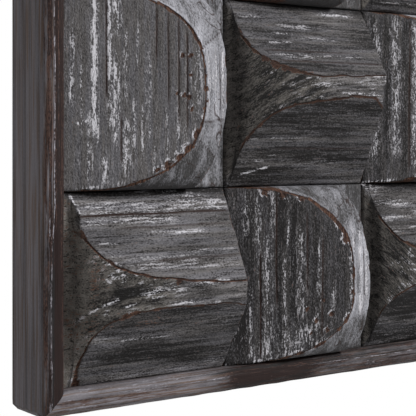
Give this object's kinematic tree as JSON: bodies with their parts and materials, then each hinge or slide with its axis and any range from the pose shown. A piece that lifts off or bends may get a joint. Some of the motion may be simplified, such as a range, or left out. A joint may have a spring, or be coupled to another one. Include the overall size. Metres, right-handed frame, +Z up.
{
  "type": "carved wall panel",
  "caption": "Framed wall panel of hand-cut wood blocks, lying ridges and upright barrels set in turn like a chessboard, hung flat on a wall as decoration.",
  "frame": {"origin": "middle of the panel's back, where it lies on the wall", "axes": "+X to the right seen from the front, +Y into the wall, +Z up"},
  "size_m": [0.635, 0.07, 0.622],
  "materials": {
    "ridge_wood": "charcoal stain with silver wash in the lying grain, rubbed through to brown on the edges",
    "barrel_wood": "grey stain with silver wash in the upright grain, pale worn barrel, brown rubbed edges",
    "frame_wood": "charcoal and red-brown stain, satin, worn pale along the edges",
    "board_wood": "plain unfinished board"
  },
  "bodies": {
    "root": {"back_board": "board_wood", "bottom_rail": "frame_wood", "left_stile": "frame_wood", "top_rail": "frame_wood", "right_stile": "frame_wood", "ridge_block_row1_column1": "ridge_wood", "barrel_block_row1_column2": "barrel_wood", "ridge_block_row1_column3": "ridge_wood", "barrel_block_row1_column4": "barrel_wood", "barrel_block_row2_column1": "barrel_wood", "ridge_block_row2_column2": "ridge_wood", "barrel_block_row2_column3": "barrel_wood", "ridge_block_row2_column4": "ridge_wood", "ridge_block_row3_column1": "ridge_wood", "barrel_block_row3_column2": "barrel_wood", "ridge_block_row3_column3": "ridge_wood", "barrel_block_row3_column4": "barrel_wood", "barrel_block_row4_column1": "barrel_wood", "ridge_block_row4_column2": "ridge_wood", "barrel_block_row4_column3": "barrel_wood", "ridge_block_row4_column4": "ridge_wood"}
  },
  "joints": []
}
